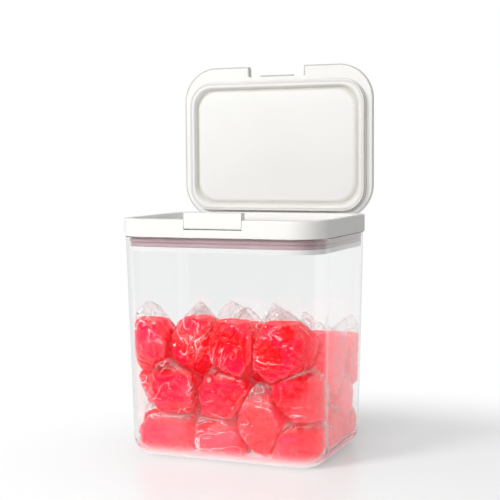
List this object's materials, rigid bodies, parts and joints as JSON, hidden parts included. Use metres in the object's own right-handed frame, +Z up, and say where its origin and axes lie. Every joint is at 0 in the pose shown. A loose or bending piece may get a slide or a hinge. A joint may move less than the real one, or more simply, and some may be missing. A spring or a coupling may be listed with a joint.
{
  "type": "laundry pod dispenser",
  "caption": "Clear rounded storage tub with a white collar, a hinged flip-top lid with a press latch, and laundry pods inside.",
  "frame": {"origin": "centre of the tub's base on the floor, under the collar's centre", "axes": "front with the latch faces -Y, +X to the right seen from the front, +Z up; the lid is at rest open, upright behind the collar"},
  "size_m": [0.18, 0.1518, 0.3306],
  "materials": {
    "clear_plastic": "clear, glossy",
    "white_plastic": "satin gloss",
    "white_liner": "fine matt",
    "mauve_silicone": "satin",
    "white_silicone": "satin",
    "steel_pin": "ground",
    "spring_steel": "bright",
    "pod_film": "glossy film over red liquid"
  },
  "bodies": {
    "tub": {"tub": "clear_plastic", "pod_01": "pod_film", "pod_02": "pod_film", "pod_03": "pod_film", "pod_04": "pod_film", "pod_05": "pod_film", "pod_06": "pod_film", "pod_07": "pod_film", "pod_08": "pod_film", "pod_09": "pod_film", "pod_10": "pod_film", "pod_11": "pod_film", "pod_12": "pod_film", "pod_13": "pod_film", "pod_14": "pod_film", "pod_15": "pod_film", "pod_16": "pod_film", "pod_17": "pod_film", "pod_18": "pod_film", "pod_19": "pod_film", "pod_20": "pod_film", "pod_21": "pod_film", "pod_22": "pod_film", "pod_23": "pod_film", "pod_24": "pod_film", "pod_25": "pod_film", "pod_26": "pod_film", "pod_27": "pod_film", "pod_28": "pod_film", "pod_29": "pod_film", "pod_30": "pod_film", "pod_31": "pod_film", "pod_32": "pod_film", "pod_33": "pod_film", "pod_34": "pod_film", "pod_35": "pod_film", "pod_36": "pod_film", "pod_37": "pod_film", "pod_38": "pod_film", "pod_39": "pod_film", "pod_40": "pod_film"},
    "collar": {"collar": "white_plastic", "collar_skirt": "white_plastic", "gasket": "mauve_silicone", "hinge_pin_left": "steel_pin", "hinge_pin_right": "steel_pin", "latch_pin": "steel_pin", "latch_leaf": "spring_steel"},
    "lid": {"lid_shell": "white_plastic", "lid_liner": "white_liner", "lid_seal": "white_silicone"},
    "latch": {"latch_button": "white_plastic"}
  },
  "joints": [
    {"name": "collar_lift", "type": "slide", "parent": "tub", "child": "collar", "axis": [0, 0, 1], "range_m": [0, 0.06]},
    {"name": "lid_hinge", "type": "hinge", "parent": "collar", "child": "lid", "pos_m": [0, 0.0655, 0.1926], "axis": [1, 0, 0], "range_deg": [0, 90]},
    {"name": "latch_press", "type": "hinge", "parent": "collar", "child": "latch", "pos_m": [0, -0.0693, 0.1972], "axis": [1, 0, 0], "range_deg": [0, 12], "stiffness_Nm_per_rad": 0.14, "deforming": ["latch_leaf"]}
  ]
}
